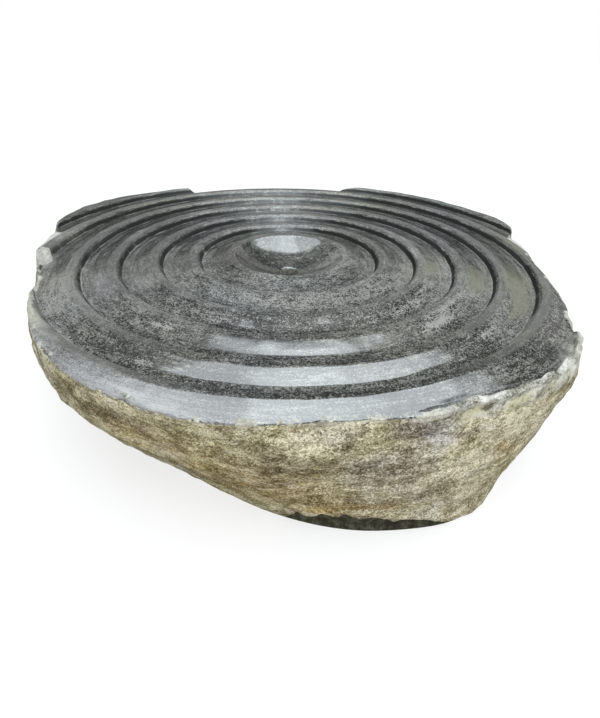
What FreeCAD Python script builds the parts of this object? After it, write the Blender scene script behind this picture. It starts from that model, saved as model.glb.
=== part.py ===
import FreeCAD, Part
import math
import os

# Ripple basin carved from one river boulder. Millimetres. The origin lies on the ring axis, in the
# flat face that the stone rests on. +Z is up, and -Y is the front.

# Boulder
STONE_HEIGHT = 150.0
# Radius of the natural outline at the ground top, every ten degrees from +X, anticlockwise.
# Where it is wider than the seventh crest, a piece of that ring is left standing as a ledge.
RIM_RADII = [
    269, 283, 305, 308, 307, 305, 303, 296, 285,
    284, 284, 288, 299, 309, 313, 306, 288, 275,
    263, 254, 258, 265, 274, 280, 281, 286, 287,
    284, 287, 292, 297, 300, 296, 282, 272, 265,
]
# The sawn foot: its middle, its mean radius, and how far it is oval and three-cornered.
FOOT_MIDDLE = (55.0, -6.0)
FOOT_RADIUS = 218.0
FOOT_OVAL = (-34.0, 18.0)
FOOT_THREE_CORNERED = (-19.0, -5.0)
# The side stays wide and then turns in to the foot. The higher the power, the later it turns in.
TURN_IN_POWER = 3.0
TURN_IN_LESS_AT_FRONT = 1.9
# The belly stands out from the straight line between rim and foot.
BELLY_OUT = 15.0
BELLY_LESS_AT_FRONT = 9.0
# The side is ruled between level outlines at these depths, closest where it turns in.
SECTION_DEPTHS = [0.0, 0.12, 0.25, 0.38, 0.5, 0.61, 0.71, 0.8, 0.88, 0.95, 1.0]

# Carving
RING_COUNT = 7
FIRST_CREST_RADIUS = 58.0
RING_PITCH = 40.0
STEP_HEIGHT = 6.6
LAND_WIDTH = 8.0
SLOPE_WIDTH = 18.0
SLOPE_DROP = 5.6
RISER_WIDTH = 4.6
BOWL_DEPTH = 21.0

# Drilled hole
HOLE_RADIUS = 10.0
HOLE_LIP = 1.2

# Chips broken off the rim, each a shallow scoop: angle, how far it bites in, radius of the scoop,
# and how far its middle stands above the ground top
CHIPS = [
    (10.0, 7.0, 34.0, 6.0),
    (74.0, 8.0, 46.0, 12.0),
    (111.0, 7.0, 38.0, 10.0),
    (181.0, 10.0, 26.0, 6.0),
    (326.0, 7.0, 30.0, 8.0),
]

FULL_TURN = 360.0
CUBIC_MM_PER_LITRE = 1e6
UP = FreeCAD.Vector(0, 0, 1)


def rim_radius(angle):
    """Radius of the natural outline between two of its points, to place what sits on the rim."""
    place = angle / FULL_TURN * len(RIM_RADII)
    before = int(place)
    share = place - before
    after = (before + 1) % len(RIM_RADII)
    return RIM_RADII[before] * (1.0 - share) + RIM_RADII[after] * share


def rim_point(index):
    """Point of the natural outline, seen from above."""
    angle = math.radians(index * FULL_TURN / len(RIM_RADII))
    radius = RIM_RADII[index]
    return radius * math.cos(angle), radius * math.sin(angle)


def foot_point(index):
    """Point of the sawn foot that lies under the rim point of the same number."""
    angle = math.radians(index * FULL_TURN / len(RIM_RADII))
    radius = FOOT_RADIUS
    radius += FOOT_OVAL[0] * math.cos(2 * angle) + FOOT_OVAL[1] * math.sin(2 * angle)
    radius += FOOT_THREE_CORNERED[0] * math.cos(3 * angle) + FOOT_THREE_CORNERED[1] * math.sin(3 * angle)
    return FOOT_MIDDLE[0] + radius * math.cos(angle), FOOT_MIDDLE[1] + radius * math.sin(angle)


def side_point(index, depth):
    """Point of the boulder's side, depth being 0 at the top and 1 at the foot."""
    angle = math.radians(index * FULL_TURN / len(RIM_RADII))
    frontness = max(0.0, -math.sin(angle))
    power = TURN_IN_POWER - TURN_IN_LESS_AT_FRONT * frontness
    width_left = 1.0 - depth ** power
    belly = (BELLY_OUT - BELLY_LESS_AT_FRONT * frontness) * math.sin(math.pi * depth)
    rim = rim_point(index)
    foot = foot_point(index)
    x = foot[0] + (rim[0] - foot[0]) * width_left + belly * math.cos(angle)
    y = foot[1] + (rim[1] - foot[1]) * width_left + belly * math.sin(angle)
    return FreeCAD.Vector(x, y, STONE_HEIGHT * (1.0 - depth))


def section(depth):
    """Closed smooth outline of the boulder at one depth."""
    curve = Part.BSplineCurve()
    points = [side_point(index, depth) for index in range(len(RIM_RADII))]
    curve.interpolate(Points=points, PeriodicFlag=True)
    return Part.Wire([curve.toShape()])


def boulder():
    """The whole stone before it is carved: ruled sides, flat ground top and sawn foot."""
    return Part.makeLoft([section(depth) for depth in SECTION_DEPTHS], True, True)


def at(radius, drop):
    """Point of the carving's section, drop being measured down from the ground top."""
    return FreeCAD.Vector(radius, 0, STONE_HEIGHT - drop)


def bowl_drop(radius):
    """Depth of the bowl, which is part of a ball that passes through the first crest."""
    ball_radius = (FIRST_CREST_RADIUS ** 2 + BOWL_DEPTH ** 2) / (2 * BOWL_DEPTH)
    return math.sqrt(ball_radius ** 2 - radius ** 2) - (ball_radius - BOWL_DEPTH)


def bowl_edges():
    """Section of the central bowl, from the axis out: hole, its broken edge, and the wall."""
    mouth_radius = HOLE_RADIUS + HOLE_LIP
    mouth_drop = bowl_drop(mouth_radius)
    half_way = (mouth_radius + FIRST_CREST_RADIUS) / 2
    hole = Part.LineSegment(at(0, mouth_drop + HOLE_LIP), at(HOLE_RADIUS, mouth_drop + HOLE_LIP))
    lip = Part.LineSegment(at(HOLE_RADIUS, mouth_drop + HOLE_LIP), at(mouth_radius, mouth_drop))
    wall = Part.Arc(
        at(mouth_radius, mouth_drop),
        at(half_way, bowl_drop(half_way)),
        at(FIRST_CREST_RADIUS, 0),
    )
    return [hole.toShape(), lip.toShape(), wall.toShape()]


def ring_edges(crest_radius):
    """One ripple, from a crest outwards: flat land, slope, trough and the riser to the next crest."""
    slope_start = crest_radius + LAND_WIDTH
    slope_end = slope_start + SLOPE_WIDTH
    next_crest = crest_radius + RING_PITCH
    land = Part.LineSegment(at(crest_radius, 0), at(slope_start, 0))
    slope = Part.LineSegment(at(slope_start, 0), at(slope_end, SLOPE_DROP))
    trough = Part.LineSegment(at(slope_end, SLOPE_DROP), at(next_crest - RISER_WIDTH, STEP_HEIGHT))
    riser = Part.LineSegment(at(next_crest - RISER_WIDTH, STEP_HEIGHT), at(next_crest, 0))
    return [land.toShape(), slope.toShape(), trough.toShape(), riser.toShape()]


def carving():
    """The stone that is ground away: the bowl and the ripples round it, turned about the ring axis."""
    edges = bowl_edges()
    for ring in range(RING_COUNT - 1):
        edges += ring_edges(FIRST_CREST_RADIUS + ring * RING_PITCH)
    last_crest = FIRST_CREST_RADIUS + (RING_COUNT - 1) * RING_PITCH
    air = -STEP_HEIGHT
    floor = bowl_drop(HOLE_RADIUS + HOLE_LIP) + HOLE_LIP
    edges.append(Part.LineSegment(at(last_crest, 0), at(last_crest, air)).toShape())
    edges.append(Part.LineSegment(at(last_crest, air), at(0, air)).toShape())
    edges.append(Part.LineSegment(at(0, air), at(0, floor)).toShape())
    face = Part.Face(Part.Wire(edges))
    return face.revolve(FreeCAD.Vector(0, 0, 0), UP, FULL_TURN)


def drilled_hole():
    """Hole straight down through the stone, under the middle of the bowl."""
    return Part.makeCylinder(HOLE_RADIUS, STONE_HEIGHT)


def chip(angle, bite, scoop_radius, middle_above_top):
    """Ball that takes one shallow scoop out of the rim, its seam turned away from the stone."""
    middle_radius = rim_radius(angle) + scoop_radius - bite
    ball = Part.makeSphere(scoop_radius)
    ball.rotate(FreeCAD.Vector(0, 0, 0), UP, FULL_TURN / 2)
    ball.translate(FreeCAD.Vector(middle_radius, 0, STONE_HEIGHT + middle_above_top))
    ball.rotate(FreeCAD.Vector(0, 0, 0), UP, angle)
    return ball


def river_stone_basin():
    """The one piece: the boulder, less the carving, the hole and the chips."""
    stone = boulder().cut(carving())
    stone = stone.cut(drilled_hole())
    for size_and_place in CHIPS:
        stone = stone.cut(chip(*size_and_place))
    return stone


os.makedirs("parts", exist_ok=True)
basin = river_stone_basin()
basin.exportStep("parts/river_stone_basin.step")
print("river_stone_basin: valid", basin.isValid(), "solids", len(basin.Solids),
      "litres", round(basin.Volume / CUBIC_MM_PER_LITRE, 2), "box", basin.BoundBox)
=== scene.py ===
import math

import bpy
import numpy as np
from mathutils import Matrix, Vector


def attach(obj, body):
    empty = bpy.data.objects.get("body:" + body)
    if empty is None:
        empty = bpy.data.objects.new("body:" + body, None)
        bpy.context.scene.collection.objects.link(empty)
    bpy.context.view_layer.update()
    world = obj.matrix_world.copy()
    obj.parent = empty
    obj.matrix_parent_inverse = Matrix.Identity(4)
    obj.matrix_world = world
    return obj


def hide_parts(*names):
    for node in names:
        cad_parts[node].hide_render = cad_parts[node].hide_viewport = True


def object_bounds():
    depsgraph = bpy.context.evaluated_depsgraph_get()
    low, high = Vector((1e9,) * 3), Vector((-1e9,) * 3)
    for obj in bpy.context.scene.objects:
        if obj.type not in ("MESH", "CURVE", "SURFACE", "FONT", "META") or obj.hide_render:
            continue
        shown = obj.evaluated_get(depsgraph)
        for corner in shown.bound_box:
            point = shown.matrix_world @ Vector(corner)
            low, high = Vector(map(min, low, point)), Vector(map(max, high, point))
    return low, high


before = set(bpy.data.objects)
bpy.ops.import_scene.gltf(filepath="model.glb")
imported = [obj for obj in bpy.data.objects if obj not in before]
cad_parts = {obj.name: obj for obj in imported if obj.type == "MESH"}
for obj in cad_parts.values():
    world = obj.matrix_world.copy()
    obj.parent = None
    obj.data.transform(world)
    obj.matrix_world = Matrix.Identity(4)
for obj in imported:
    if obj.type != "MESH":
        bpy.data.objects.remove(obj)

cad_low, cad_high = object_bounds()


# River boulder. One block of dense grey river stone that keeps its weathered skin all round.
# It is sawn flat underneath, and the sides turn in to a foot that lies off centre.
STONE_HEIGHT = 0.150
MM = 0.001
# Radius of the ground edge every ten degrees, from +X and anticlockwise
RIM_RADII = MM * np.array([
    269, 283, 305, 308, 307, 305, 303, 296, 285,
    284, 284, 288, 299, 309, 313, 306, 288, 275,
    263, 254, 258, 265, 274, 280, 281, 286, 287,
    284, 287, 292, 297, 300, 296, 282, 272, 265,
])
FOOT_MIDDLE = (0.055, -0.006)
FOOT_RADIUS = 0.218
FOOT_OVAL = (-0.034, 0.018)
FOOT_THREE_CORNERED = (-0.019, -0.005)
TURN_IN_POWER = 3.0
TURN_IN_LESS_AT_FRONT = 1.9
BELLY_OUT = 0.015
BELLY_LESS_AT_FRONT = 0.009
# Places where an outline swells: angle in degrees, how far out, half width in degrees
RIM_SWELLS = ((157, 0.0045, 9), (118, 0.0060, 4), (-46, 0.0050, 13), (176, 0.0040, 4))
FOOT_SWELLS = ((-72, 0.0030, 9), (-84, -0.0008, 7))
# The stone is one grid. Its segments run round the ring axis, and its rows from the hole outwards.
SEGMENTS = 960

angle = np.arange(SEGMENTS) * 2 * math.pi / SEGMENTS
degrees = np.degrees(angle)
outwards = np.stack([np.cos(angle), np.sin(angle)], -1)


def bell(apart):
    """1 in the middle, and less the further apart, with almost nothing left from 2 on."""
    return np.exp(-apart ** 2)


def degrees_from(middle):
    """How many degrees each segment lies from a middle angle, either way."""
    return (degrees - middle + 180) % 360 - 180


def smooth_outline(radii):
    """Radius at every segment of a closed outline that passes smoothly through evenly spaced radii."""
    place = angle / (2 * math.pi) * len(radii)
    first = np.floor(place).astype(int)
    share = place - first
    before, start, end, after = (radii[(first + step) % len(radii)] for step in (-1, 0, 1, 2))
    bend = 3 * (start - end) + after - before
    turn = 2 * before - 5 * start + 4 * end - after
    return start + 0.5 * share * (end - before + share * (turn + share * bend))


def swollen(radius, swells):
    """Outline with its swells added."""
    for middle, swell_out, half_width in swells:
        radius = radius + swell_out * bell(degrees_from(middle) / half_width)
    return radius


def around(radius):
    """Places seen from above, at a radius for every segment and row."""
    return radius[..., None] * outwards[:, None]


def raised(flat, height):
    """Points from their places seen from above and their heights."""
    return np.concatenate([flat, np.broadcast_to(height, flat.shape[:-1])[..., None]], -1)


rim_radius = swollen(smooth_outline(RIM_RADII), RIM_SWELLS)
rim_point = rim_radius[:, None] * outwards
foot_radius = (
    FOOT_RADIUS
    + FOOT_OVAL[0] * np.cos(2 * angle) + FOOT_OVAL[1] * np.sin(2 * angle)
    + FOOT_THREE_CORNERED[0] * np.cos(3 * angle) + FOOT_THREE_CORNERED[1] * np.sin(3 * angle)
)
foot_point = np.array(FOOT_MIDDLE) + swollen(foot_radius, FOOT_SWELLS)[:, None] * outwards


def side_points(depth):
    """Points of the side under each segment. depth is 0 at the ground top and 1 at the foot."""
    frontness = np.maximum(0, -np.sin(angle))[:, None]
    width_left = 1 - depth ** (TURN_IN_POWER - TURN_IN_LESS_AT_FRONT * frontness)
    belly = (BELLY_OUT - BELLY_LESS_AT_FRONT * frontness) * np.sin(math.pi * depth)
    flat = foot_point[:, None] + (rim_point - foot_point)[:, None] * width_left[..., None] + around(belly)
    return raised(flat, STONE_HEIGHT * (1 - depth))


# Ripples. The ground top is carved in seven level crests. Outside each crest come a narrow flat
# land, a slope, a trough and a steep riser. The middle is a shallow bowl, part of a ball.
RING_COUNT = 7
FIRST_CREST = 0.058
RING_PITCH = 0.040
STEP_HEIGHT = 0.0066
LAND_WIDTH = 0.008
SLOPE_WIDTH = 0.018
SLOPE_DROP = 0.0056
RISER_WIDTH = 0.0046
BOWL_DEPTH = 0.021
HOLE_RADIUS = 0.010
HOLE_LIP = 0.0012
LAST_CREST = FIRST_CREST + (RING_COUNT - 1) * RING_PITCH
# Worn edges are the mean of sections that are moved in and out by up to this much.
EDGE_WEAR = 0.0008
WEAR_SAMPLES = 7
# The rows lie closest at the rim and beside the edges.
WIDEST_RIM = 0.318
ROW_GAP = 0.0020
RIM_ROW_GAP = 0.0012
EDGE_ROW_GAP = 0.0005
RISER_ROWS = 4


def sharp_drop(radius):
    """Depth of the carving below the ground top, as the section is drawn."""
    ball = (FIRST_CREST ** 2 + BOWL_DEPTH ** 2) / (2 * BOWL_DEPTH)
    bowl = np.sqrt(np.maximum(ball ** 2 - radius ** 2, 0)) - (ball - BOWL_DEPTH)
    bowl = bowl + np.clip(HOLE_RADIUS + HOLE_LIP - radius, 0, HOLE_LIP)
    ring = np.interp(
        (radius - FIRST_CREST) % RING_PITCH,
        [0, LAND_WIDTH, LAND_WIDTH + SLOPE_WIDTH, RING_PITCH - RISER_WIDTH, RING_PITCH],
        [0, 0, SLOPE_DROP, STEP_HEIGHT, 0],
    )
    return np.where(radius < FIRST_CREST, bowl, np.where(radius < LAST_CREST, ring, 0))


def worn_drop(radius):
    """The same section with its edges worn round."""
    shifts = EDGE_WEAR * np.linspace(-1, 1, WEAR_SAMPLES)
    return np.mean([sharp_drop(radius + shift) for shift in shifts], 0)


def rows_between(stops, gap):
    """Row radii from stop to stop, with two close rows beside each stop, where an edge is."""
    rows = []
    for start, end in zip(stops, stops[1:]):
        count = max(2, math.ceil((end - start) / gap))
        rows += [start, start + EDGE_ROW_GAP]
        rows += list(np.linspace(start, end, count + 1)[1:-1])
        rows += [end - EDGE_ROW_GAP]
    return rows


def ring_stops(crest):
    """Radii where the section of the ring outside a crest turns, and more of them up its riser."""
    riser_foot = crest + RING_PITCH - RISER_WIDTH
    riser = [riser_foot + RISER_WIDTH * row / RISER_ROWS for row in range(RISER_ROWS)]
    return [crest, crest + LAND_WIDTH, crest + LAND_WIDTH + SLOPE_WIDTH] + riser


bowl_rows = rows_between([HOLE_RADIUS, HOLE_RADIUS + HOLE_LIP, FIRST_CREST], ROW_GAP)
crests = [FIRST_CREST + ring * RING_PITCH for ring in range(RING_COUNT)]
whole_rings = [stop for crest in crests[:-2] for stop in ring_stops(crest)] + [crests[-2]]
cut_rings = ring_stops(crests[-2]) + [LAST_CREST, WIDEST_RIM]
top_rows = np.array(
    bowl_rows + rows_between(whole_rings, ROW_GAP) + rows_between(cut_rings, RIM_ROW_GAP) + [WIDEST_RIM]
)

# Broken rim. The grinder left a brittle edge, which crumbled in small nicks all the way round. At the
# front right the seventh ring has broken away down to a low rough ledge of bruised, whitened stone.
RIM_ROUGHEST = -60
CALMEST_NICKS = 0.35
NICKS_END = 0.022
DROP_ENDS = 0.045
EDGE_ROUNDING = 0.0012
EDGE_ROUNDING_WIDTH = 0.0022
# Uneven forms are given as sizes of lump: height, width and the seed of its pattern.
RIM_NICKS = ((0.0013, 0.030, 0), (0.0008, 0.011, 1))
ROUNDING_UNEVEN = ((0.8, 0.016, 5),)
CREST_WANDER = ((0.0009, 0.055, 3), (0.0004, 0.016, 4))
WANDER_STARTS, WANDER_FULL = 0.030, 0.060
# Angles where the ledge starts, is whole, begins to end and has ended
LEDGE_SPAN = (283, 293, 319, 329)
LEDGE_WIDTH = 0.0062
LEDGE_WIDTH_UNEVEN = ((0.22, 0.014, 6), (0.12, 0.005, 7))
LEDGE_WALL = 0.0022
LEDGE_RISE = 0.0046
LEDGE_RISE_UNEVEN = ((0.5, 0.009, 8),)
LEDGE_FALL = 0.0030
LEDGE_FALL_WIDTH = 0.004
RING_BREAKS = (-0.0110, -0.0095)
SIDE_ROWS = 96
DEPTH_STEPS = 160


def lumps(points, size, seed):
    """Smooth bumps from -1 to 1, each about as wide as size, the same on every run."""
    lattice_side = 64
    lattice = np.random.default_rng(seed).uniform(-1, 1, (lattice_side,) * 3)
    place = points / size + lattice_side
    corner = np.floor(place).astype(int)
    share = place - corner
    share = share * share * (3 - 2 * share)
    total = 0
    for step in np.ndindex(2, 2, 2):
        weight = np.prod(np.where(step, share, 1 - share), -1)
        x, y, z = np.moveaxis((corner + step) % lattice_side, -1, 0)
        total = total + weight * lattice[x, y, z]
    return total


def uneven(points, sizes):
    """Lumps of several sizes together, each given by its height, width and seed."""
    return sum(height * lumps(points, width, seed) for height, width, seed in sizes)


def ramp(value, start, end):
    """Goes smoothly from 0 at start to 1 at end."""
    share = np.clip((value - start) / (end - start), 0, 1)
    return share * share * (3 - 2 * share)


def plateau(value, starts, whole, ends, gone):
    """Goes smoothly from 0 to 1 between the first two limits, and back to 0 between the last two."""
    return ramp(value, starts, whole) * (1 - ramp(value, ends, gone))


rough_share = np.maximum(0, np.cos(angle - math.radians(RIM_ROUGHEST)))
rim_nick = uneven(raised(rim_point, 0), RIM_NICKS) * (CALMEST_NICKS + (1 - CALMEST_NICKS) * rough_share)
broken_rim = rim_radius + rim_nick

# The rows run on over the rim and down the side. The row nearest the rim is moved onto it.
every_segment = np.arange(SEGMENTS)
run = np.repeat(top_rows[None], SEGMENTS, 0)
nearest = np.abs(run - broken_rim[:, None]).argmin(1)
run[every_segment, nearest] = broken_rim
on_top = run <= broken_rim[:, None]
depth_steps = np.repeat(np.linspace(0, 1, DEPTH_STEPS)[None], SEGMENTS, 0)
side_length = np.zeros((SEGMENTS, DEPTH_STEPS))
side_length[:, 1:] = np.cumsum(np.linalg.norm(np.diff(side_points(depth_steps), axis=1), axis=-1), 1)
side_left = side_length[:, -1] - (WIDEST_RIM - broken_rim)
side_run = WIDEST_RIM + side_left[:, None] * np.arange(1, SIDE_ROWS + 1) / SIDE_ROWS
run = np.concatenate([run, side_run], 1)
on_top = np.concatenate([on_top, np.zeros_like(side_run, bool)], 1)
past_rim = run - broken_rim[:, None]
depth = np.stack([
    np.interp(past_rim[segment], side_length[segment], depth_steps[segment])
    for segment in every_segment
])

# Carved top, with crests that wander a little because they were ground by hand
flat_place = raised(around(run), 0)
top_radius = run + uneven(flat_place, CREST_WANDER) * ramp(run, WANDER_STARTS, WANDER_FULL)
drop = worn_drop(run)
rounding = EDGE_ROUNDING * (1 + uneven(raised(rim_point, 0), ROUNDING_UNEVEN))
drop = drop + rounding[:, None] * np.exp(np.minimum(past_rim, 0) / EDGE_ROUNDING_WIDTH)
ledge = plateau(degrees, *LEDGE_SPAN)[:, None]
inner_edge = -LEDGE_WIDTH * (1 + uneven(flat_place, LEDGE_WIDTH_UNEVEN))
ledge_top = LEDGE_RISE * (1 + uneven(flat_place, LEDGE_RISE_UNEVEN))
ledge_top = ledge_top - LEDGE_FALL * ramp(past_rim, -LEDGE_FALL_WIDTH, 0)
ledge_drop = STEP_HEIGHT - ramp(past_rim, inner_edge, inner_edge + LEDGE_WALL) * ledge_top
ledge_share = ledge * ramp(past_rim, *RING_BREAKS)
drop = drop * (1 - ledge_share) + ledge_drop * ledge_share
top = raised(around(top_radius), STONE_HEIGHT - drop)

# The side starts at the height that the carving leaves at the rim.
side = side_points(depth)
side[..., :2] += around(rim_nick[:, None] * (1 - ramp(past_rim, 0, NICKS_END)))
side[..., 2] -= drop[every_segment, nearest][:, None] * (1 - ramp(past_rim, 0, DROP_ENDS))
stone = np.where(on_top[..., None], top, side)


# Weathered side. The river rounded the block and left level flow ridges and shallow dents. Just above
# the foot the skin hangs over a hollowed band, which is darkened with painted shade.
SKIN_IN = 0.0010
SKIN_STARTS = 0.008
SKIN_ENDS = 0.03
DENTS = ((0.0032, 0.064, 11), (0.0019, 0.028, 12), (0.0009, 0.012, 13), (0.00035, 0.0045, 14))
FLOW_RIDGES = ((0.0007, 0.034, 21), (0.0005, 0.013, 22))
FLOW_STRETCH = np.array([1, 1, 4.5])
# Angle, then in millimetres: height, half width, half height, and how far out
SIDE_SWELLS = (
    (-50, 92, 50, 30, -5),
    (-126, 48, 40, 28, -4.5),
    (-69, 4, 30, 14, 4.5),
)
# Height of the hollow above the foot at each of these angles
HOLLOW_ANGLES = (252, 258, 263, 273, 280, 288)
HOLLOW_HEIGHTS = (0, 0.030, 0.032, 0.027, 0.018, 0)
HOLLOW_UNEVEN = ((0.16, 0.030, 25), (0.16, 0.010, 26))
HOLLOW_FULL_FROM = 0.015
HOLLOW_IN = 0.0055
HOLLOW_CORNER = 0.003
LIP_OUT = 0.0020
LIP_ABOVE = 0.004
LIP_HALF_HEIGHT = 0.005
# The painted shade of the band above the foot ends between these heights above the hollow's top.
FOOT_SHADE_ENDS = (-0.002, 0.003)
LEDGE_LUMPS = ((0.0007, 0.0095, 27), (0.0003, 0.0040, 28))
LEDGE_LUMPS_START = 0.002
LEDGE_LUMPS_END = (0.008, 0.026)
TOOL_MARKS = ((0.00020, 0.030, 31), (0.00005, 0.010, 32))
SWEEP_MARKS = ((0.00006, 0.006, 33),)
SWEEP_TURN = 0.025


def on_side(spots):
    """Sum of soft spots on the side, each at its full amount in its middle."""
    total = 0 * run
    for middle, height, half_width, half_height, amount in spots:
        along = np.radians(degrees_from(middle)) * rim_radius / MM
        up = stone[:, :run.shape[1], 2] / MM - height
        total += amount * bell(along / half_width)[:, None] * bell(up / half_height)
    return total


out = uneven(stone, DENTS) + uneven(stone * FLOW_STRETCH, FLOW_RIDGES) - SKIN_IN
out += MM * on_side(SIDE_SWELLS)
hollow_top = np.interp(degrees, HOLLOW_ANGLES, HOLLOW_HEIGHTS)[:, None]
hollow_span = ramp(hollow_top, 0, HOLLOW_FULL_FROM)
above_hollow = stone[..., 2] - hollow_top * (1 + uneven(stone, HOLLOW_UNEVEN))
lip = hollow_span * bell((above_hollow - LIP_ABOVE) / LIP_HALF_HEIGHT)
hollow = hollow_span * (1 - ramp(above_hollow, -HOLLOW_CORNER, 0))
# The band above the foot gets painted shade.
foot_shade = 1 - ramp(above_hollow, *FOOT_SHADE_ENDS)
out += LIP_OUT * lip - HOLLOW_IN * hollow
skin_share = ramp(past_rim, 0, SKIN_STARTS) * ramp(1 - depth, 0, SKIN_ENDS)
on_ledge = ledge * plateau(past_rim, inner_edge, inner_edge + LEDGE_LUMPS_START, *LEDGE_LUMPS_END)
marks = uneven(stone, TOOL_MARKS) + uneven(raised(around(SWEEP_TURN + 0 * run), run), SWEEP_MARKS)
out = np.where(on_top, marks, out * skin_share) + uneven(stone, LEDGE_LUMPS) * on_ledge


# Foot and drilled hole. The saw left the foot flat, and the hole was bored straight through from
# the middle of the bowl.
FOOT_ROWS = 14
HOLE_ROWS = 14

foot_edge = stone[:, -1, :2]
foot_share = np.arange(1, FOOT_ROWS + 1) / FOOT_ROWS
foot_flat = foot_edge[:, None] + (HOLE_RADIUS * outwards - foot_edge)[:, None] * foot_share[:, None]
mouth_height = STONE_HEIGHT - worn_drop(HOLE_RADIUS)
hole_height = mouth_height * np.arange(1, HOLE_ROWS) / HOLE_ROWS
hole_rows = raised(around(np.full((SEGMENTS, HOLE_ROWS - 1), HOLE_RADIUS)), hole_height)
skin_rows = run.shape[1]
stone = np.concatenate([stone, raised(foot_flat, 0), hole_rows], 1)
rows = stone.shape[1]


def with_foot(values, below):
    """Values of the carved and natural rows, with one value for all the foot and hole rows."""
    return np.concatenate([values, np.full((SEGMENTS, rows - skin_rows), below)], 1)


def closed_normals(points):
    """Outward normals of a grid whose first and last rows also meet."""
    along = np.roll(points, -1, 0) - np.roll(points, 1, 0)
    across = np.roll(points, -1, 1) - np.roll(points, 1, 1)
    normal = np.cross(across, along)
    smallest = 1e-12
    return normal / np.maximum(np.linalg.norm(normal, axis=-1, keepdims=True), smallest)


stone = stone + closed_normals(stone) * with_foot(out, 0)[..., None]


# Chips. Flakes were knocked off the brittle rim and left shallow scoops, and the freshest of them
# still show white stone.
CHIP_UNEVEN = ((0.0007, 0.007, 41),)
# Angle, bite, radius of the scoop, its middle's height above the top, and how fresh the break is
CHIPS = (
    (10, 0.007, 0.034, 0.006, 0.0),
    (72, 0.007, 0.016, 0.004, 0.0),
    (112.5, 0.008, 0.016, 0.004, 0.0),
    (179.5, 0.023, 0.027, 0.012, 1.0),
    (326, 0.007, 0.030, 0.008, 0.7),
)
# The stone stays this far inside its box.
HAIR = 1e-5

chipped = np.zeros((SEGMENTS, rows))
for chip_angle, bite, scoop, above, fresh in CHIPS:
    turn = math.radians(chip_angle)
    middle_out = np.interp(turn, angle, rim_radius) + scoop - bite
    middle = np.array([middle_out * math.cos(turn), middle_out * math.sin(turn), STONE_HEIGHT + above])
    from_middle = stone - middle
    far = np.linalg.norm(from_middle, axis=-1)
    rough_scoop = scoop + uneven(stone, CHIP_UNEVEN)
    inside = far < rough_scoop
    chipped = np.where(inside, fresh, chipped)
    pushed = middle + from_middle * (rough_scoop / far)[..., None]
    stone = np.where(inside[..., None], pushed, stone)
stone = np.clip(stone, np.array(cad_low) + HAIR, np.array(cad_high) - HAIR)


# Mesh of the whole stone. It is one closed grid, whose last row, in the hole, meets its first. The
# foot and the hole have the second finish.
point_count = SEGMENTS * rows
number = np.arange(point_count).reshape(SEGMENTS, rows)
next_segment = np.roll(number, -1, 0)
corners = np.stack([
    next_segment,
    np.roll(next_segment, -1, 1),
    np.roll(number, -1, 1),
    number,
], -1).reshape(-1, 4)
stone_mesh = bpy.data.meshes.new("river_stone")
stone_mesh.vertices.add(point_count)
stone_mesh.vertices.foreach_set("co", stone.reshape(-1))
stone_mesh.loops.add(corners.size)
stone_mesh.loops.foreach_set("vertex_index", corners.reshape(-1))
stone_mesh.polygons.add(len(corners))
stone_mesh.polygons.foreach_set("loop_start", np.arange(len(corners)) * 4)
stone_mesh.update()
stone_mesh.shade_smooth()
row_number = np.repeat(np.arange(rows)[None], SEGMENTS, 0).reshape(-1)
stone_mesh.polygons.foreach_set("material_index", (row_number >= skin_rows - 1).astype(int))
river_stone = bpy.data.objects.new("river_stone", stone_mesh)
bpy.context.scene.collection.objects.link(river_stone)
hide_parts("river_stone_basin")
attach(river_stone, "root")


# Grain of the stone. Dark and pale crystals, one to two millimetres wide, show wherever it is cut.
# They are cells of even tone, strewn with finer specks, and each has a face that leans its own way.
SPECK_SHARE = 0.35
SPECKS_TO_A_CRYSTAL = 1.7
SPECK_LIMITS = (0.30, 0.70)
MIDDLE_GREY = (0.5, 0.5, 0.5)
NOISE_LIMITS = (0.32, 0.68)


class Value:
    """What a node gives out. Values and numbers are summed up by + - and *."""

    def __init__(self, tree, socket):
        self.tree = tree
        self.socket = socket

    def __add__(self, other):
        return maths(self.tree, "ADD", self, other)

    def __sub__(self, other):
        return maths(self.tree, "SUBTRACT", self, other)

    def __rsub__(self, other):
        return maths(self.tree, "SUBTRACT", other, self)

    def __mul__(self, other):
        return maths(self.tree, "MULTIPLY", self, other)

    def __abs__(self):
        return maths(self.tree, "ABSOLUTE", self)

    def clamped(self):
        """The result of a sum, kept between 0 and 1."""
        self.socket.node.use_clamp = True
        return self

    def goes_to(self, entry):
        """Joins the value to an input."""
        self.tree.links.new(self.socket, entry)


def add(tree, kind, inputs=(), **settings):
    """Adds a node, sets its options, and sets or joins its inputs."""
    node = tree.nodes.new("ShaderNode" + kind)
    for option, setting in settings.items():
        setattr(node, option, setting)
    for name, entry in dict(inputs).items():
        if isinstance(entry, Value):
            entry.goes_to(node.inputs[name])
        else:
            node.inputs[name].default_value = entry
    return node


def value(tree, kind, output, inputs=(), **settings):
    """What a new node gives at one of its outputs."""
    return Value(tree, add(tree, kind, inputs, **settings).outputs[output])


def values(tree, kind, inputs=(), **settings):
    """All that a new node gives, by name."""
    return {socket.name: Value(tree, socket) for socket in add(tree, kind, inputs, **settings).outputs}


def maths(tree, how, first, second=0.0):
    """Result of one sum."""
    return value(tree, "Math", 0, {0: first, 1: second}, operation=how)


def larger(first, second):
    """The larger of two values."""
    return maths(first.tree, "MAXIMUM", first, second)


def vector(how, first, second=(0, 0, 0)):
    """Result of one sum with vectors."""
    output = "Value" if how in ("LENGTH", "DOT_PRODUCT") else "Vector"
    return value(first.tree, "VectorMath", output, {0: first, 1: second}, operation=how)


def between(value_in, start, end, low=0.0, high=1.0):
    """Low where the value is at start or below, high where it is at end or above, smooth in between."""
    limits = {"Value": value_in, "From Min": start, "From Max": end, "To Min": low, "To Max": high}
    return value(value_in.tree, "MapRange", 0, limits, interpolation_type="SMOOTHSTEP")


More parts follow.
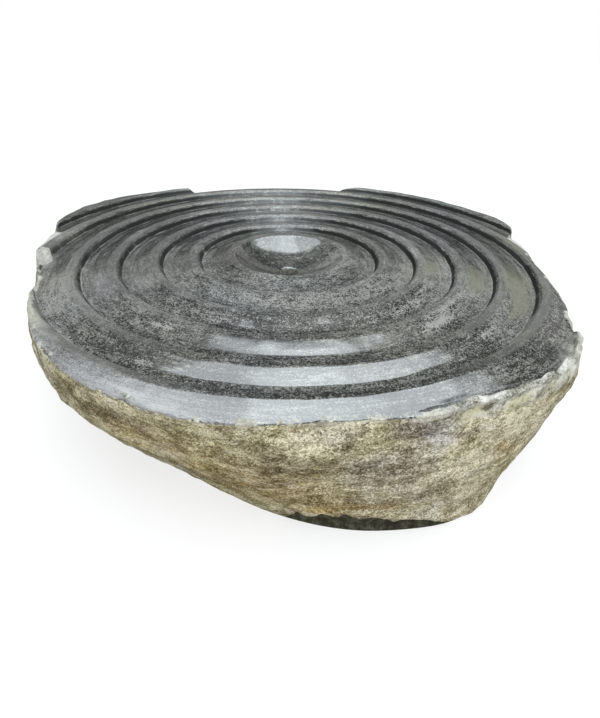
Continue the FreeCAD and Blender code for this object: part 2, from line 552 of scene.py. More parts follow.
def push(value_in, amount):
    """Value from 0 to 1 made into a push either way of up to half the amount."""
    return (value_in - 0.5) * amount


def mix(share, first, second):
    """Value that goes from first to second as share goes from 0 to 1."""
    return value(first.tree, "Mix", 0, {0: share, 2: first, 3: second})


def noise(where, look):
    """Noise from 0 to 1. Its look is the width of its largest lumps, its detail and its roughness."""
    size, detail, rough = look
    inputs = {"Vector": where, "Scale": 1 / size, "Detail": detail, "Roughness": rough}
    return between(value(where.tree, "TexNoise", 0, inputs), *NOISE_LIMITS)


def new_group(name, inputs, outputs):
    """Node group, with its inputs given as name to number and its outputs as name to kind."""
    group = bpy.data.node_groups.new(name, "ShaderNodeTree")
    for label, number_in in inputs.items():
        socket = group.interface.new_socket(label, in_out="INPUT", socket_type="NodeSocketFloat")
        socket.default_value = number_in
    for label, kind in outputs.items():
        group.interface.new_socket(label, in_out="OUTPUT", socket_type="NodeSocket" + kind)
    given = {socket.name: Value(group, socket) for socket in group.nodes.new("NodeGroupInput").outputs}
    return group, given, group.nodes.new("NodeGroupOutput").inputs


crystals, given, result = new_group("crystals", {"Size": 0.001}, {"Tone": "Float", "Facets": "Float"})
tree = crystals
where = value(tree, "TexCoord", "Object")
scale = maths(tree, "DIVIDE", 1.0, given["Size"])
cells = values(tree, "TexVoronoi", {"Vector": where, "Scale": scale})
cell_tone = value(tree, "SeparateColor", 0, {0: cells["Color"]})
speck_look = {"Vector": where, "Scale": scale * SPECKS_TO_A_CRYSTAL, "Detail": 2.0}
specks = between(value(tree, "TexNoise", 0, speck_look), *SPECK_LIMITS)
mix(SPECK_SHARE, cell_tone, specks).goes_to(result["Tone"])
from_middle = vector("SUBTRACT", where, cells["Position"])
tilt = vector("SUBTRACT", cells["Color"], MIDDLE_GREY)
facet = vector("DOT_PRODUCT", from_middle, tilt)
(facet * (1 / MM)).goes_to(result["Facets"])


def crystals_in(tree, size):
    """Tone and facets of the crystals, drawn at a size."""
    return values(tree, "Group", {"Size": size}, node_tree=crystals)


# Ground face. The wheel left it honed and dark, with sweeps along the rings. The flat lands are paler in
# places. Painted shade darkens the steep risers, which are also dull, and painted highlights run along
# the crest edges and the corners of the troughs. Slurry and films of pale and olive dust dried on it in
# patches; the slurry on the outer front ring is partly a painted sheen, and some pale films are painted
# glints.
RISER_SHADE_STARTS = (0.0348, 0.0356)
RISER_SHADE_THINS, RISER_SHADE_THINNED = (0.0374, 0.0388), 0.8
UNSHADED_SPAN = (176, 184, 214, 226)
# How dark the painted shade on the risers is at each of these angles
RISER_SHADE_ANGLES = (0, 30, 62, 76, 90, 104, 118, 150, 178, 190, 330, 360)
RISER_SHADE_AMOUNTS = (0.80, 0.92, 0.92, 0.75, 0.50, 0.70, 0.92, 0.80, 0.62, 0.56, 0.75, 0.80)
# How pale the lands are, and how bright the painted highlight on the edge of each crest is, at each of
# these angles
LAND_ANGLES = (0, 60, 90, 150, 200, 228, 240, 252, 288, 302, 320, 345, 360)
LAND_AMOUNTS = (0.5, 0.2, 0.1, 0.3, 0.55, 0.60, 0.35, 0.0, 0.0, 0.35, 0.75, 0.60, 0.5)
LAND_ENDS = (0.0070, 0.0095)
INNER_LANDS, INNER_LANDS_SHARE = (0.08, 0.16), 0.35
OUTER_LANDS = (0.17, 0.25)
CREST_HIGHLIGHT_ANGLES = (0, 40, 65, 90, 115, 150, 175, 200, 345, 360)
CREST_HIGHLIGHT_AMOUNTS = (0.30, 0.36, 0.36, 0.36, 0.36, 0.30, 0.30, 0.10, 0.05, 0.30)
CREST_HIGHLIGHT_ENDS = (0.0007, 0.0019)
# The slopes at the front are polished: middle angle, half width in degrees, place across the ring, and
# the radii from which they are
POLISHED_ANGLE, POLISHED_HALF = -92, 34
POLISHED_ACROSS = (0.0080, 0.0100, 0.0255, 0.0275)
POLISHED_FROM = (0.175, 0.185)
# Painted shadow lines by the broken ledge at the front right, each a line of points seen from above, in
# millimetres
LEDGE_SHADOW_LINES = (
    ((114, -262), (126, -261), (134, -256)),
    ((141, -250), (148, -246), (154, -241)),
    ((216, -157), (221, -166), (226, -173)),
)
LEDGE_SHADOW_HALF_WIDTH = 0.0012
# Films on the ground top: radius, angle, half width across the rings, half length along them, amount.
# Radii, widths and lengths are in millimetres.
# Pale films. The one 30 mm out in the bowl and those on the far lip of the hole are painted glints.
PALE_FILMS_AND_GLINTS = (
    (194, -127, 3, 14, 1.0),
    (241, -121, 4, 12, 1.0),
    (197, 177, 3, 10, 1.0),
    (64, -111, 6, 16, 0.9),
    (235, -49, 6, 14, 0.8),
    (196, -52, 6, 24, 1.1),
    (186, -44, 3, 30, 0.9),
    (160, -50, 5, 24, 0.9),
    (176, 6, 2, 24, 0.7),
    (214, 14, 2, 30, 0.8),
    (205, 34, 2.5, 20, 0.7),
    (138, 2, 2, 18, 0.7),
    (152, -38, 3, 20, 0.6),
    (120, -45, 3, 18, 0.6),
    (95, 61, 2, 4, 1.0),
    (95, 167, 2, 12, 0.9),
    (30, 61, 3, 6, 0.8),
    (11.2, 50, 1.2, 8, 0.9),
    (11.2, 160, 1.2, 5, 0.7),
)
# Slurry, partly a painted sheen on the outer front ring
SLURRY_AND_SHEEN_FILMS = (
    (278, -122, 13, 76, 0.95),
    (285, -112, 6, 46, 0.60),
    (272, -128, 10, 22, 0.28),
    (279, -65, 8, 20, 0.38),
    (287, -70, 6, 22, 0.50),
    (270, -141, 8, 25, 0.6),
    (195, -159, 10, 26, 0.50),
    (158, -157, 10, 22, 0.45),
)
OLIVE_FILMS = (
    (236, -18, 16, 50, 1.0),
    (198, -20, 14, 40, 1.0),
    (150, -14, 10, 28, 0.8),
    (270, 3, 12, 60, 1.0),
    (258, -168, 12, 30, 0.9),
    (243, -33, 12, 30, 0.6),
)
# Dust in the pores, laid out as the films are, less where the amount is negative
DUST = (
    (236, -158, 18, 60, 0.36),
    (250, -143, 14, 50, 0.14),
    (222, -145, 5, 90, 0.14),
    (117, -137, 22, 50, 0.20),
    (185, -141, 30, 60, 0.10),
    (200, 90, 70, 80, 0.10),
    (150, 180, 70, 50, -0.05),
    (216, 140, 50, 60, -0.10),
    (222, -157, 10, 30, 0.22),
    (170, -92, 14, 80, -0.12),
    (118, -48, 26, 55, 0.26),
    (150, -10, 30, 60, 0.22),
    (194, -26, 26, 50, 0.20),
    (236, -18, 16, 50, 0.14),
    (138, 20, 30, 50, 0.12),
    (238, -46, 12, 30, 0.12),
    (275, -46, 18, 60, -0.16),
    (250, -110, 10, 60, -0.10),
    (221, -90, 7, 130, -0.20),
    (261, -88, 7, 150, -0.32),
    (157, -90, 12, 70, -0.12),
    (30, 190, 30, 40, -0.20),
    (46, -20, 20, 40, 0.18),
    (278, -68, 12, 22, 0.12),
    (68, 194, 14, 30, -0.24),
    (64, -10, 14, 30, 0.12),
    (80, -90, 16, 50, 0.12),
    (118, -95, 14, 60, 0.10),
    (290, 14, 22, 90, 0.30),
    (178, -47, 4, 26, -0.22),
    (207, -50, 4, 30, -0.22),
    (222, -46, 5, 26, -0.14),
    (148, -42, 4, 24, -0.18),
    (168, -34, 4, 18, 0.16),
    (228, -38, 5, 16, 0.16),
)


def film(spots):
    """Sum of soft spots on the ground top, each at its full amount in its middle."""
    total = 0 * run
    for radius, middle, half_width, half_length, amount in spots:
        along = np.radians(degrees_from(middle)) * radius
        across = run / MM - radius
        total += amount * bell(along / half_length)[:, None] * bell(across / half_width)
    return total


def to_line(start, end):
    """Distance from every point to a straight line, seen from above."""
    start, end = MM * np.array(start), MM * np.array(end)
    along = end - start
    from_start = stone[:, :skin_rows, :2] - start
    share = np.clip(from_start @ along / (along @ along), 0, 1)
    return np.linalg.norm(from_start - share[..., None] * along, axis=-1)


def round_the_stone(angles, amounts):
    """Amount at each segment, from its amounts at some angles."""
    return np.interp(degrees, angles, amounts)[:, None]


def store(name, amounts, below=0):
    """Keeps an amount for every point of the stone, for the finishes to read."""
    layer = stone_mesh.attributes.new(name, "FLOAT", "POINT")
    layer.data.foreach_set("value", with_foot(amounts, below).astype(np.float32).reshape(-1))


across_ring = np.where(run < FIRST_CREST, SLOPE_WIDTH, (run - FIRST_CREST) % RING_PITCH)
plain = (ledge > 0.5) & (run > LAST_CREST - RING_PITCH / 2)
store("across_ring", np.where(plain, SLOPE_WIDTH, across_ring), SLOPE_WIDTH)
# The steep risers get painted shade, as dark as given round the stone, and are dulled.
riser_shade = round_the_stone(RISER_SHADE_ANGLES, RISER_SHADE_AMOUNTS) * ramp(across_ring, *RISER_SHADE_STARTS)
riser_shade = riser_shade * (1 - RISER_SHADE_THINNED * ramp(across_ring, *RISER_SHADE_THINS))
outer_riser = run > LAST_CREST - RING_PITCH - RISER_WIDTH * 2
riser_shade = riser_shade * (1 - plateau(degrees, *UNSHADED_SPAN)[:, None] * outer_riser)
store("riser_shade", riser_shade * (1 - ledge) * (run < LAST_CREST + EDGE_ROW_GAP))
land = round_the_stone(LAND_ANGLES, LAND_AMOUNTS) * (1 - ramp(across_ring, *LAND_ENDS))
land_share = INNER_LANDS_SHARE * ramp(run, *INNER_LANDS) + (1 - INNER_LANDS_SHARE) * ramp(run, *OUTER_LANDS)
store("land", land * land_share * (run < LAST_CREST))
from_crest = np.minimum(across_ring, RING_PITCH - across_ring)
# Painted highlight along the edge of each crest
crest_highlight = round_the_stone(CREST_HIGHLIGHT_ANGLES, CREST_HIGHLIGHT_AMOUNTS) * (1 - ramp(from_crest, *CREST_HIGHLIGHT_ENDS))
store("crest_highlight", crest_highlight * on_top)
polished = plateau(across_ring, *POLISHED_ACROSS) * ramp(run, *POLISHED_FROM) * on_top
store("polished", polished * bell(degrees_from(POLISHED_ANGLE) / POLISHED_HALF)[:, None])
# Painted shadow lines by the broken ledge
from_ledge_shadow = np.min([to_line(*ends) for ledge_shadow in LEDGE_SHADOW_LINES for ends in zip(ledge_shadow, ledge_shadow[1:])], axis=0)
store("ledge_shadow", bell(from_ledge_shadow / LEDGE_SHADOW_HALF_WIDTH) * on_top)
store("pale_film_and_glint", film(PALE_FILMS_AND_GLINTS))
store("slurry_and_sheen_film", film(SLURRY_AND_SHEEN_FILMS))
store("olive_film", film(OLIVE_FILMS))
store("dust", film(DUST))

# Look of the ground face: the sizes of its grain, then its marks, colours and thin layers
GRAIN_SIZE = 0.0010
FLECK_SIZE = 0.0013
# Width, detail and roughness of the marks, and how far some of them push the tone
SWEEPS, SWEEP_PUSH = (0.0030, 4.0, 0.70), 0.36
SCRATCHES, SCRATCH_PUSH = (0.0010, 2.0, 0.6), 0.18
CLOUDS, CLOUD_PUSH = (0.075, 4.0, 0.6), 0.20
MOTTLES, MOTTLE_PUSH = (0.014, 5.0, 0.75), 0.42
GRAIN_PUSH = 1.45
DASHES = (0.016, 4.0, 0.7)
LEDGE_SHADOW_EDGES = (0.005, 4.0, 0.75)
WARMTH = (0.15, 2.0, 0.5)
ROUND_RING = 0.020
# Where the grain stands out more or less: from and to which place, and its strength at each
STRONGER_AT_FRONT = (0.01, -0.12, 0.55, 1.0)
WEAKER_AT_LEFT = (-0.18, -0.06, 0.84, 1.06)
WEAKER_WHERE_POLISHED = (0.1, 0.9, 1.0, 0.45)
MIDDLE_TONE = 0.50
GROUND_COLOURS = (
    (0.05, (0.008, 0.009, 0.008)),
    (0.30, (0.024, 0.025, 0.023)),
    (0.50, (0.054, 0.057, 0.053)),
    (0.70, (0.125, 0.130, 0.123)),
    (0.98, (0.28, 0.29, 0.28)),
)
WARM_TINT, WARM_SHARE = (1.06, 0.98, 0.84), 0.8
# Colour of each thin layer, and how well it covers
FLECK = ((0.44, 0.445, 0.43), 0.8)
PALE_LAND = ((0.120, 0.124, 0.116), 1.0)
CREST_HIGHLIGHT = ((0.31, 0.32, 0.315), 0.8)
PALE_FILM_AND_GLINT = ((0.36, 0.362, 0.345), 0.80)
OLIVE_FILM = ((0.172, 0.164, 0.104), 0.7)
CORNER_HIGHLIGHT = ((0.30, 0.31, 0.30), 1.0)
PAINTED_RISER_SHADE = ((0.015, 0.016, 0.0145), 1.0)
LEDGE_SHADOW = ((0.012, 0.011, 0.009), 0.9)
SLURRY_AND_SHEEN = ((0.37, 0.37, 0.372), 0.92)
FLECKS_START = (0.80, 0.92)
# How a layer's cover changes with the pattern under it: from, to, cover at each
LAND_BY_GRAIN = (0.0, 1.0, 0.65, 1.0)
CREST_BY_DASHES = (0.1, 0.8, 0.3, 1.1)
CORNER_BY_SWEEPS = (0.2, 0.9, 0.0, 0.8)
SLURRY_BY_TONE = (0.1, 0.8, 0.55, 1.05)
# Ragged patches: push of the pattern, sums at which the patch starts and covers, and amounts of film
# at which it may start and may cover
PALE_PATCH = (1.2, 0.40, 0.85, 0.05, 0.30)
OLIVE_PATCH = (0.5, 0.25, 0.75, 0.05, 0.35)
RISER_SHADE_PATCH = (0.5, 0.28, 0.66, 0.05, 0.30)
LEDGE_SHADOW_PATCH = (0.9, 0.45, 0.60, 0.02, 0.20)
# The painted highlight along the corner of each trough
CORNER_ACROSS = 0.0350
CORNER_HALF_WIDTHS = (0.0009, 0.0002)
# Roughness of the darkest and the palest grain, and what dulls it
HONED = (0.0, 1.0, 0.30, 0.45)
SLURRY_DULLS, CREST_DULLS = 0.5, 1.3
DULL_ROUGHENS = 0.4
FACET_HEIGHT, SWEEP_HEIGHT = 0.08, 0.02


def stored(tree, name):
    """Amount kept in the points of the stone."""
    return value(tree, "Attribute", "Fac", attribute_name=name)


def steps(value_in, stops):
    """Colour that runs through the given stops, each a place from 0 to 1 and a colour."""
    node = add(value_in.tree, "ValToRGB", {0: value_in})
    ramp_stops = node.color_ramp.elements
    while len(ramp_stops) < len(stops):
        ramp_stops.new(1.0)
    for stop, (place_on_ramp, colour) in zip(ramp_stops, stops):
        stop.position = place_on_ramp
        stop.color = (*colour, 1)
    return Value(value_in.tree, node.outputs[0])


def blend(share, first, second):
    """Colour that goes from first to second as share goes from 0 to 1."""
    second = second if isinstance(second, Value) else (*second, 1)
    return value(first.tree, "Mix", 2, {0: share, 6: first, 7: second}, data_type="RGBA")


def tint(share, colour, by):
    """Colour multiplied by another as share goes from 0 to 1."""
    inputs = {0: share, 6: colour, 7: (*by, 1)}
    return value(colour.tree, "Mix", 2, inputs, data_type="RGBA", blend_type="MULTIPLY")


def lay(colour, amount, layer):
    """Colour with a thin layer over it. The layer has a colour and a share that it covers at most."""
    layer_colour, cover = layer
    return blend(amount * cover, colour, layer_colour)


def patch(amount, pattern, edges):
    """Amount made into a patch whose ragged edges follow a pattern."""
    pattern_push, starts, covers, may_start, may_cover = edges
    ragged = between(amount + push(pattern, pattern_push), starts, covers)
    return ragged * between(amount, may_start, may_cover)


ground_face, given, result = new_group(
    "ground_face", {}, {"Colour": "Color", "Roughness": "Float", "Height": "Float", "Dull": "Float"},
)
tree = ground_face
where = value(tree, "TexCoord", "Object")
apart = values(tree, "SeparateXYZ", {0: where})
flat = value(tree, "CombineXYZ", 0, {0: apart["X"], 1: apart["Y"]})
heading = values(tree, "SeparateXYZ", {0: vector("NORMALIZE", flat)})
round_ring = value(tree, "CombineXYZ", 0, {
    0: heading["X"] * ROUND_RING,
    1: heading["Y"] * ROUND_RING,
    2: vector("LENGTH", flat),
})
sweeps = noise(round_ring, SWEEPS)
scratches = noise(round_ring, SCRATCHES)
clouds = noise(where, CLOUDS)
mottles = noise(where, MOTTLES)
dashes = noise(flat, DASHES)
grain = crystals_in(tree, GRAIN_SIZE)
strength = between(apart["Y"], *STRONGER_AT_FRONT) * between(apart["X"], *WEAKER_AT_LEFT)
strength = strength * between(stored(tree, "polished"), *WEAKER_WHERE_POLISHED)
tone = push(grain["Tone"], GRAIN_PUSH) * strength + push(mottles, MOTTLE_PUSH) * strength + MIDDLE_TONE
tone = tone + push(sweeps, SWEEP_PUSH) + push(scratches, SCRATCH_PUSH) + push(clouds, CLOUD_PUSH)
tone = (tone + stored(tree, "dust")).clamped()
colour = steps(tone, GROUND_COLOURS)
fleck = between(crystals_in(tree, FLECK_SIZE)["Tone"], *FLECKS_START) * strength
colour = lay(colour, fleck, FLECK)
# The flat lands are paler by amounts given round the stone.
colour = lay(colour, stored(tree, "land") * between(grain["Tone"], *LAND_BY_GRAIN), PALE_LAND)
# Painted highlight along the crest edges
colour = lay(colour, stored(tree, "crest_highlight") * between(dashes, *CREST_BY_DASHES), CREST_HIGHLIGHT)
colour = tint(noise(where, WARMTH) * WARM_SHARE, colour, WARM_TINT)
# Pale films, partly painted glints
colour = lay(colour, patch(stored(tree, "pale_film_and_glint"), tone, PALE_PATCH), PALE_FILM_AND_GLINT)
colour = lay(colour, patch(stored(tree, "olive_film"), sweeps, OLIVE_PATCH), OLIVE_FILM)
# Painted highlight in the corner of each trough
corner = between(abs(stored(tree, "across_ring") - CORNER_ACROSS), *CORNER_HALF_WIDTHS)
colour = lay(colour, corner * between(sweeps, *CORNER_BY_SWEEPS), CORNER_HIGHLIGHT)
# Painted shade on the risers
colour = lay(colour, patch(stored(tree, "riser_shade"), dashes, RISER_SHADE_PATCH), PAINTED_RISER_SHADE)
# Painted shadow lines by the broken ledge
colour = lay(colour, patch(stored(tree, "ledge_shadow"), noise(where, LEDGE_SHADOW_EDGES), LEDGE_SHADOW_PATCH), LEDGE_SHADOW)
# Slurry, partly a painted sheen on the outer front ring
slurry_and_sheen = (stored(tree, "slurry_and_sheen_film") * between(tone, *SLURRY_BY_TONE)).clamped()
lay(colour, slurry_and_sheen, SLURRY_AND_SHEEN).goes_to(result["Colour"])
dull = stored(tree, "riser_shade") + slurry_and_sheen * SLURRY_DULLS + stored(tree, "crest_highlight") * CREST_DULLS
dull = dull.clamped()
dull.goes_to(result["Dull"])
(between(grain["Tone"], *HONED) + dull * DULL_ROUGHENS).clamped().goes_to(result["Roughness"])
(grain["Facets"] * FACET_HEIGHT + sweeps * SWEEP_HEIGHT).goes_to(result["Height"])


# Weathered skin. Buff and khaki rind with cream and grey patches, level dark veins and black specks,
# painted lighter under the rim at the front, and darkened above the foot with painted shade, tinted dark
# green.
SKIN_GRAIN_SIZE = 0.0012
PORE_SIZE = 0.0016
# Width, detail and roughness of the marks, and how far some of them push the tone
LAYERS, LAYER_PUSH = (0.020, 4.0, 0.62), 0.26
BLOTCHES, BLOTCH_PUSH = (0.022, 8.0, 0.78), 0.48
SKIN_GRAIN_PUSH = 0.75
VEINS = (0.011, 3.0, 0.6)
VEIN_HALF_WIDTHS, VEIN_DEPTH = (0.05, 0.01), 0.30
GREY_CLOUDS, GREY_PUSH = (0.050, 4.0, 0.6), 0.8
GREEN_CLOUDS = (0.045, 4.0, 0.65)
FOOT_SHADE_EDGES, FOOT_SHADE_PUSH = (0.009, 4.0, 0.75), 0.7
FOOT_SHADE_MARKS = (0.006, 4.0, 0.75)
PITS = (0.006, 5.0, 0.75)
# The layers lie level, and are bent a little.
LEVEL_STRETCH = (1.0, 1.0, 2.6)
BENDS_PER_METRE = 22.0
BEND_BY = (0.020, 0.020, 0.020)
ELSEWHERE = (4.1, 2.3, 1.7)
SKIN_MIDDLE_TONE = 0.57
SKIN_COLOURS = (
    (0.02, (0.050, 0.040, 0.025)),
    (0.22, (0.150, 0.118, 0.066)),
    (0.44, (0.300, 0.255, 0.155)),
    (0.66, (0.50, 0.45, 0.305)),
    (0.92, (0.86, 0.81, 0.62)),
)
FOOT_SHADE_COLOURS = (
    (0.20, (0.022, 0.021, 0.015)),
    (0.60, (0.044, 0.045, 0.031)),
    (0.95, (0.100, 0.105, 0.078)),
)
GREY_TINT = (0.80, 0.83, 1.10)
GREEN_TINT, GREEN_SHARE = (0.93, 0.95, 0.80), 0.5
GREEN_STARTS = (0.45, 0.95)
BROWN_TINT = (0.98, 0.84, 0.60)
BROWN_BY_LAYERS = (0.0, 1.0, 1.1, 0.5)
PORE = ((0.035, 0.030, 0.020), 0.85)
PORES_START = (0.20, 0.08)
FOOT_SHADE_STARTS, FOOT_SHADE_COVER = (0.35, 0.65), 0.94
PIT_HEIGHT, SKIN_GRAIN_HEIGHT, PORE_DEPTH = 0.55, 0.35, 0.3
# Stains on the side, and painted light that makes the skin lighter just under the rim at the front:
# angle, then height, half width and half height in millimetres, and amount
LIGHTER = (
    (-92, 116, 24, 10, 0.04),
    (-94, 98, 34, 12, -0.10),
    (-92, 131, 50, 8, 0.10),
    (-68, 78, 34, 34, 0.16),
    (-57, 110, 40, 30, 0.22),
    (-87, 143, 50, 6, 0.36),
    (-128, 116, 40, 7, -0.16),
    (-122, 62, 50, 8, -0.14),
    (-118, 88, 40, 9, 0.12),
    (-134, 96, 30, 7, 0.10),
    (-66, 128, 30, 8, 0.14),
    (-119, 137, 34, 7, 0.36),
    (-134, 139, 26, 7, 0.32),
    (-107, 141, 20, 5, 0.22),
    (-110, 115, 30, 6, 0.08),
    (-98, 92, 50, 8, -0.12),
    (-92, 50, 40, 8, -0.08),
    (-62.6, 88.5, 7, 5, -0.26),
    (-75, 40, 30, 12, 0.12),
    (-78, 130, 16, 10, -0.16),
    (-122, 98, 50, 20, 0.08),
    (-74, 16, 40, 16, 0.16),
    (-20, 110, 60, 22, 0.14),
    (8, 50, 50, 20, 0.12),
    (30, 120, 70, 18, 0.12),
    (62, 70, 60, 26, 0.14),
    (96, 115, 80, 20, 0.14),
    (120, 50, 50, 22, 0.12),
    (150, 105, 60, 20, 0.12),
    (196, 100, 50, 18, 0.12),
    (216, 60, 50, 16, 0.10),
)
GREYER = (
    (-77, 133, 22, 12, 1.0),
    (-100, 73, 14, 8, 0.9),
    (-86, 100, 20, 10, 0.5),
    (-70, 118, 30, 12, 0.6),
)
BROWNER = (
    (-104, 60, 60, 30, 0.9),
    (-118, 100, 60, 30, 0.7),
    (-62.6, 88.5, 9, 6, 0.6),
    (-88, 42, 40, 6, 0.8),
    (-60, 75, 20, 20, 0.5),
    (-97, 38, 16, 5, 1.0),
)

store("lighter", on_side(LIGHTER))
store("greyer", on_side(GREYER))
store("browner", on_side(BROWNER))
store("foot_shade", foot_shade)

weathered_skin, given, result = new_group("weathered_skin", {}, {"Colour": "Color", "Height": "Float"})
tree = weathered_skin
where = value(tree, "TexCoord", "Object")
shifted = vector("ADD", where, ELSEWHERE)
bent = value(tree, "TexNoise", "Color", {"Vector": where, "Scale": BENDS_PER_METRE, "Detail": 3.0})
level = vector("ADD", vector("MULTIPLY", where, LEVEL_STRETCH), vector("MULTIPLY", bent, BEND_BY))
layers = noise(level, LAYERS)
blotches = noise(where, BLOTCHES)
vein = between(abs(noise(level, VEINS) - 0.5), *VEIN_HALF_WIDTHS)
grain = crystals_in(tree, SKIN_GRAIN_SIZE)
tone = push(layers, LAYER_PUSH) + SKIN_MIDDLE_TONE + push(blotches, BLOTCH_PUSH)
tone = tone - vein * (blotches * VEIN_DEPTH) + push(grain["Tone"], SKIN_GRAIN_PUSH)
tone = (tone + stored(tree, "lighter")).clamped()
colour = steps(tone, SKIN_COLOURS)
greyed = (stored(tree, "greyer") + push(noise(where, GREY_CLOUDS), GREY_PUSH)).clamped()
colour = tint(greyed, colour, GREY_TINT)
colour = tint(between(noise(shifted, GREEN_CLOUDS), *GREEN_STARTS) * GREEN_SHARE, colour, GREEN_TINT)
browned = (stored(tree, "browner") * between(layers, *BROWN_BY_LAYERS)).clamped()
colour = tint(browned, colour, BROWN_TINT)
pore = between(crystals_in(tree, PORE_SIZE)["Tone"], *PORES_START)
colour = lay(colour, pore, PORE)
# Painted shade above the foot, tinted dark green
foot_shade_share = between(stored(tree, "foot_shade") + push(noise(where, FOOT_SHADE_EDGES), FOOT_SHADE_PUSH), *FOOT_SHADE_STARTS)
foot_shade_colour = steps(noise(shifted, FOOT_SHADE_MARKS), FOOT_SHADE_COLOURS)
lay(colour, foot_shade_share, (foot_shade_colour, FOOT_SHADE_COVER)).goes_to(result["Colour"])
height = noise(level, PITS) * PIT_HEIGHT + grain["Tone"] * SKIN_GRAIN_HEIGHT - pore * PORE_DEPTH
height.goes_to(result["Height"])


# River stone as it shows above the foot: ground face on top, skin on the side, a ragged border between
# them, and white bruised stone along the rim, on the broken ledge and in the chips. The honed ground
# face mirrors the light at a low angle, and the rest is matt.
BORDER, BORDER_PUSH = (0.014, 4.0, 0.62), 1.0
# How far the border strays at the front and at the back, and from and to which depth
BORDER_STRAYS = (-0.08, 0.04, 0.011, 0.003)
BORDER_WIDTH, SKIN_BEGINS = (0.0000, 0.0008), (0.0000, 0.0006)
SLURRY_RUNS, SLURRY_RUNS_OVER = (0.007, 5.0, 0.7), 0.005
# A broken line of painted shadow runs along the border.
BORDER_SHADOW_HALF_WIDTHS = (0.0013, 0.0004)
BORDER_SHADOW_GAPS, BORDER_SHADOW_SHOWS = (0.022, 4.0, 0.7), (0.25, 0.65)
BORDER_SHADOW = ((0.055, 0.044, 0.028), 0.85)
CRUMBS, CRUMB_PUSH = (0.011, 6.0, 0.72), 0.55
BRUISE_COLOURS = (
    (0.02, (0.16, 0.15, 0.125)),
    (0.30, (0.44, 0.43, 0.375)),
    (0.75, (0.80, 0.79, 0.735)),
)
YELLOW_CLOUDS, YELLOW_STARTS = (0.020, 3.0, 0.6), (-0.001, 0.010)
YELLOW_TINT = (0.91, 0.87, 0.66)
BROKEN_PATCH = (0.9, 0.35, 0.60, 0.03, 0.20)
WORN_PATCH = (0.9, 0.40, 0.75, 0.02, 0.20)
WORN_COVER = 0.85
FRESH_BY_BREAK = (0.2, 0.9, 0.0, 0.55)
FRESH_COLOUR = (0.66, 0.66, 0.62)
WORN_THROUGH = ((0.60, 0.58, 0.50), 0.55)
CREAM_BY_BORDER = (-0.3, 0.2, 0.4, 1.0)
CREAM = ((0.52, 0.50, 0.42), 1.0)
MATT_ROUGHNESS = 0.92
BUMP_HEIGHT = 0.001
# How pale the edge is worn at each of these angles, and how far the wear reaches in and out
WORN_ANGLES = (0, 20, 160, 178, 200, 212, 225, 250, 262, 280, 290, 325, 335, 360)
WORN_AMOUNTS = (0.3, 0.05, 0.15, 0.7, 0.9, 0.7, 0.2, 0.25, 0.45, 0.5, 1.0, 1.0, 0.4, 0.3)
WEAR_IN = 0.0065
WEAR_OUT = 0.0060
CREAM_FILMS = (
    (264, -150, 6, 30, 1.0),
    (255, 180, 7, 12, 0.8),
    (262, 165, 6, 20, 0.5),
    (302, -43, 9, 22, 1.1),
)
FAR_OUT = 0.5

worn = round_the_stone(WORN_ANGLES, WORN_AMOUNTS)
store("worn", worn * plateau(past_rim, -WEAR_IN, -WEAR_IN / 3, WEAR_OUT / 3, WEAR_OUT))
store("past_rim", past_rim, FAR_OUT)
store("broken", np.maximum(on_ledge, chipped[:, :skin_rows]))
store("fresh", chipped[:, :skin_rows])
store("cream_film", film(CREAM_FILMS))


def new_finish(name):
    """New finish, its node tree, and the inputs of its shader."""
    finish = bpy.data.materials.new(name)
    finish.use_nodes = True
    return finish, finish.node_tree, finish.node_tree.nodes["Principled BSDF"].inputs


river_finish, tree, shader = new_finish("river_stone")
where = value(tree, "TexCoord", "Object")
ground = values(tree, "Group", node_tree=ground_face)
skin = values(tree, "Group", node_tree=weathered_skin)
runs_over = (stored(tree, "slurry_and_sheen_film") * noise(where, SLURRY_RUNS)).clamped()
past = stored(tree, "past_rim") - runs_over * SLURRY_RUNS_OVER
border_noise = noise(where, BORDER)
ragged = push(border_noise, BORDER_PUSH)
strays = between(values(tree, "SeparateXYZ", {0: where})["Y"], *BORDER_STRAYS)
border = past + ragged * strays
on_skin = larger(between(border, *BORDER_WIDTH), between(past, *SKIN_BEGINS))
colour = blend(on_skin, ground["Colour"], skin["Colour"])
# Painted shadow along the border between ground face and skin
border_shadow = between(abs(border), *BORDER_SHADOW_HALF_WIDTHS) * between(noise(where, BORDER_SHADOW_GAPS), *BORDER_SHADOW_SHOWS)
colour = lay(colour, border_shadow, BORDER_SHADOW)
grain = crystals_in(tree, SKIN_GRAIN_SIZE)
crumbs = noise(where, CRUMBS) + push(grain["Tone"], CRUMB_PUSH)
yellowed = between(past, *YELLOW_STARTS) * noise(where, YELLOW_CLOUDS)
bruise_colour = tint(yellowed, steps(crumbs, BRUISE_COLOURS), YELLOW_TINT)
torn = patch(stored(tree, "broken"), border_noise, BROKEN_PATCH)
edge = patch(stored(tree, "worn"), border_noise, WORN_PATCH)
bruised = larger(torn, edge * WORN_COVER)
colour = blend(bruised, colour, bruise_colour)
colour = blend(between(stored(tree, "fresh"), *FRESH_BY_BREAK), colour, FRESH_COLOUR)
colour = lay(colour, (edge - torn).clamped(), WORN_THROUGH)
cream = (stored(tree, "cream_film") * between(ragged, *CREAM_BY_BORDER)).clamped()
lay(colour, cream, CREAM).goes_to(shader["Base Color"])
matt = larger(larger(on_skin, bruised), cream)
mix(matt, ground["Roughness"], MATT_ROUGHNESS).goes_to(shader["Roughness"])
shader["IOR"].default_value = 1.5
shader["Specular IOR Level"].default_value = 0.15
((1.0 - matt) - ground["Dull"]).clamped().goes_to(shader["Coat Weight"])
shader["Coat Roughness"].default_value = 0.11
shader["Coat IOR"].default_value = 2.1
bumps = mix(matt, ground["Height"], skin["Height"]) + bruised * crumbs
